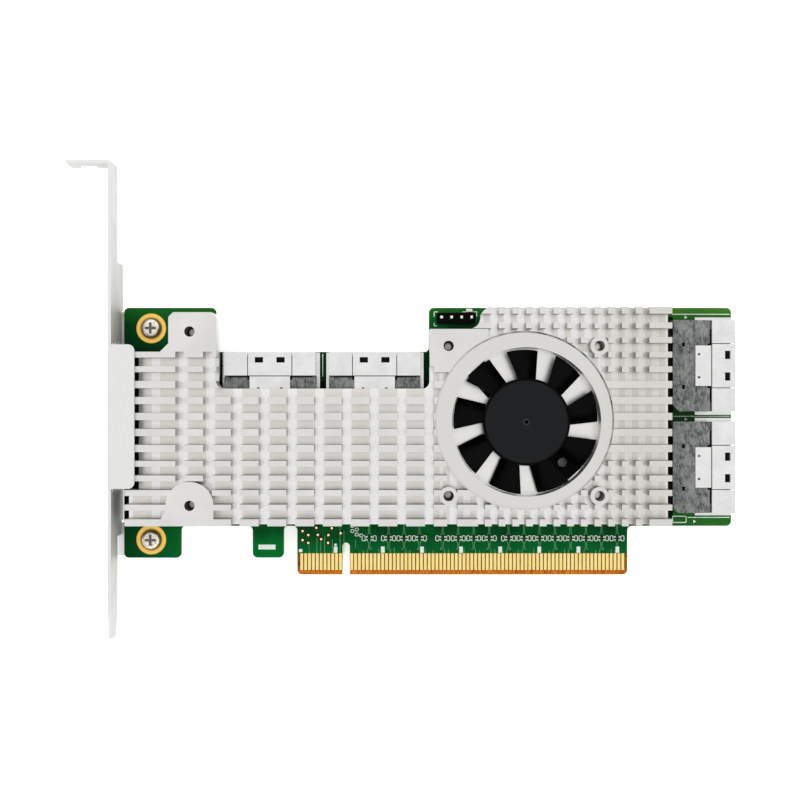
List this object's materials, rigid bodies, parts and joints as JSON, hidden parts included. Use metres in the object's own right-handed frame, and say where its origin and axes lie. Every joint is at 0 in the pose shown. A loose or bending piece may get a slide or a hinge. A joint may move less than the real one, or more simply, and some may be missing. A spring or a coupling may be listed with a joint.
{
  "type": "nvme switch adapter card",
  "caption": "Full-height expansion card with a keyed contact edge, a milled heatsink with a sunken fan, low cable connectors and a slot bracket.",
  "frame": {"origin": "centre of the key notch on the line of the contact edge, on the board's component face", "axes": "+X from the bracket towards the tail, +Y away from the contact edge, +Z from the board towards the heatsink"},
  "size_m": [0.1692, 0.12, 0.0184],
  "materials": {
    "board": "green solder mask over glass fibre, half gloss",
    "board_substrate": "green organic substrate",
    "gold": "gold plating",
    "aluminium": "milled, lightly brushed",
    "screw_steel": "nickel plated",
    "dark_screw": "blackened",
    "bracket_steel": "nickel plated sheet",
    "thermal_pad": "soft grey pad",
    "lid_nickel": "nickel plated, satin",
    "fan_plastic": "black moulded plastic",
    "magnet": "dark sintered",
    "bronze": "sintered bronze",
    "copper": "enamelled copper wire",
    "header_plastic": "black moulded plastic",
    "connector_plastic": "dark grey moulded plastic",
    "shell_steel": "tin plated sheet",
    "capacitor": "fired ceramic with tinned ends",
    "chip_plastic": "moulded, slightly grainy",
    "light_lens": "clear lens over a white body"
  },
  "bodies": {
    "card": {"bracket": "bracket_steel", "bracket_screw_pads": "gold", "bracket_screws": "screw_steel", "circuit_board": "board", "clock_oscillator": "lid_nickel", "connector_contacts_1": "gold", "connector_contacts_2": "gold", "connector_contacts_3": "gold", "connector_contacts_4": "gold", "connector_housing_1": "connector_plastic", "connector_housing_2": "connector_plastic", "connector_housing_3": "connector_plastic", "connector_housing_4": "connector_plastic", "connector_shell_1": "shell_steel", "connector_shell_2": "shell_steel", "connector_shell_3": "shell_steel", "connector_shell_4": "shell_steel", "coupling_capacitors": "capacitor", "decoupling_capacitors": "capacitor", "edge_contacts_back": "gold", "edge_contacts_front": "gold", "fan_base": "fan_plastic", "fan_base_screws": "dark_screw", "fan_bearing": "bronze", "fan_driver_board": "board", "fan_header_body": "header_plastic", "fan_header_pins": "gold", "flash_chip": "chip_plastic", "heatsink": "aluminium", "heatsink_screws": "screw_steel", "power_inductors": "magnet", "regulator_chips": "chip_plastic", "stator_core": "magnet", "stator_windings": "copper", "status_light": "light_lens", "switch_chip_lid": "lid_nickel", "switch_chip_substrate": "board_substrate", "thermal_pad": "thermal_pad"},
    "fan_rotor": {"fan_impeller": "fan_plastic", "rotor_yoke": "screw_steel", "rotor_magnet": "magnet", "fan_shaft": "screw_steel", "shaft_clip": "screw_steel"}
  },
  "joints": [
    {"name": "fan_spin", "type": "hinge", "parent": "card", "child": "fan_rotor", "pos_m": [0.0456, 0.0396, 0.009], "axis": [0, 0, 1], "continuous": true}
  ]
}
